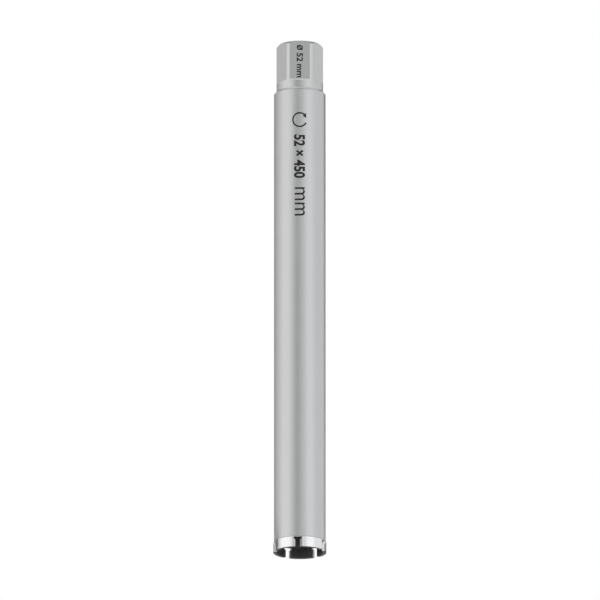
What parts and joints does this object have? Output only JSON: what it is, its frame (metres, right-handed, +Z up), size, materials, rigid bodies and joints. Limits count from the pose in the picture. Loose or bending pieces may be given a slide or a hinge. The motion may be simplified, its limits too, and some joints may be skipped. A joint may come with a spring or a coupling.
{
  "type": "diamond core bit",
  "caption": "Wet diamond core bit: long steel tube with diamond segments on its lower rim and a hexagonal, internally threaded connector on top.",
  "frame": {"origin": "on the tube's axis in the plane of the segments' cutting faces, on which the bit stands", "axes": "+Z up the tube's axis from the crown to the connector, -Y out of the connector's marked front flat"},
  "size_m": [0.052, 0.0519, 0.512],
  "materials": {
    "tube_steel": "satin",
    "connector_steel": "satin",
    "segment_metal": "gloss"
  },
  "bodies": {
    "root": {"tube": "tube_steel", "connector": "connector_steel", "segment_1": "segment_metal", "segment_2": "segment_metal", "segment_3": "segment_metal", "segment_4": "segment_metal", "segment_5": "segment_metal"}
  },
  "joints": []
}
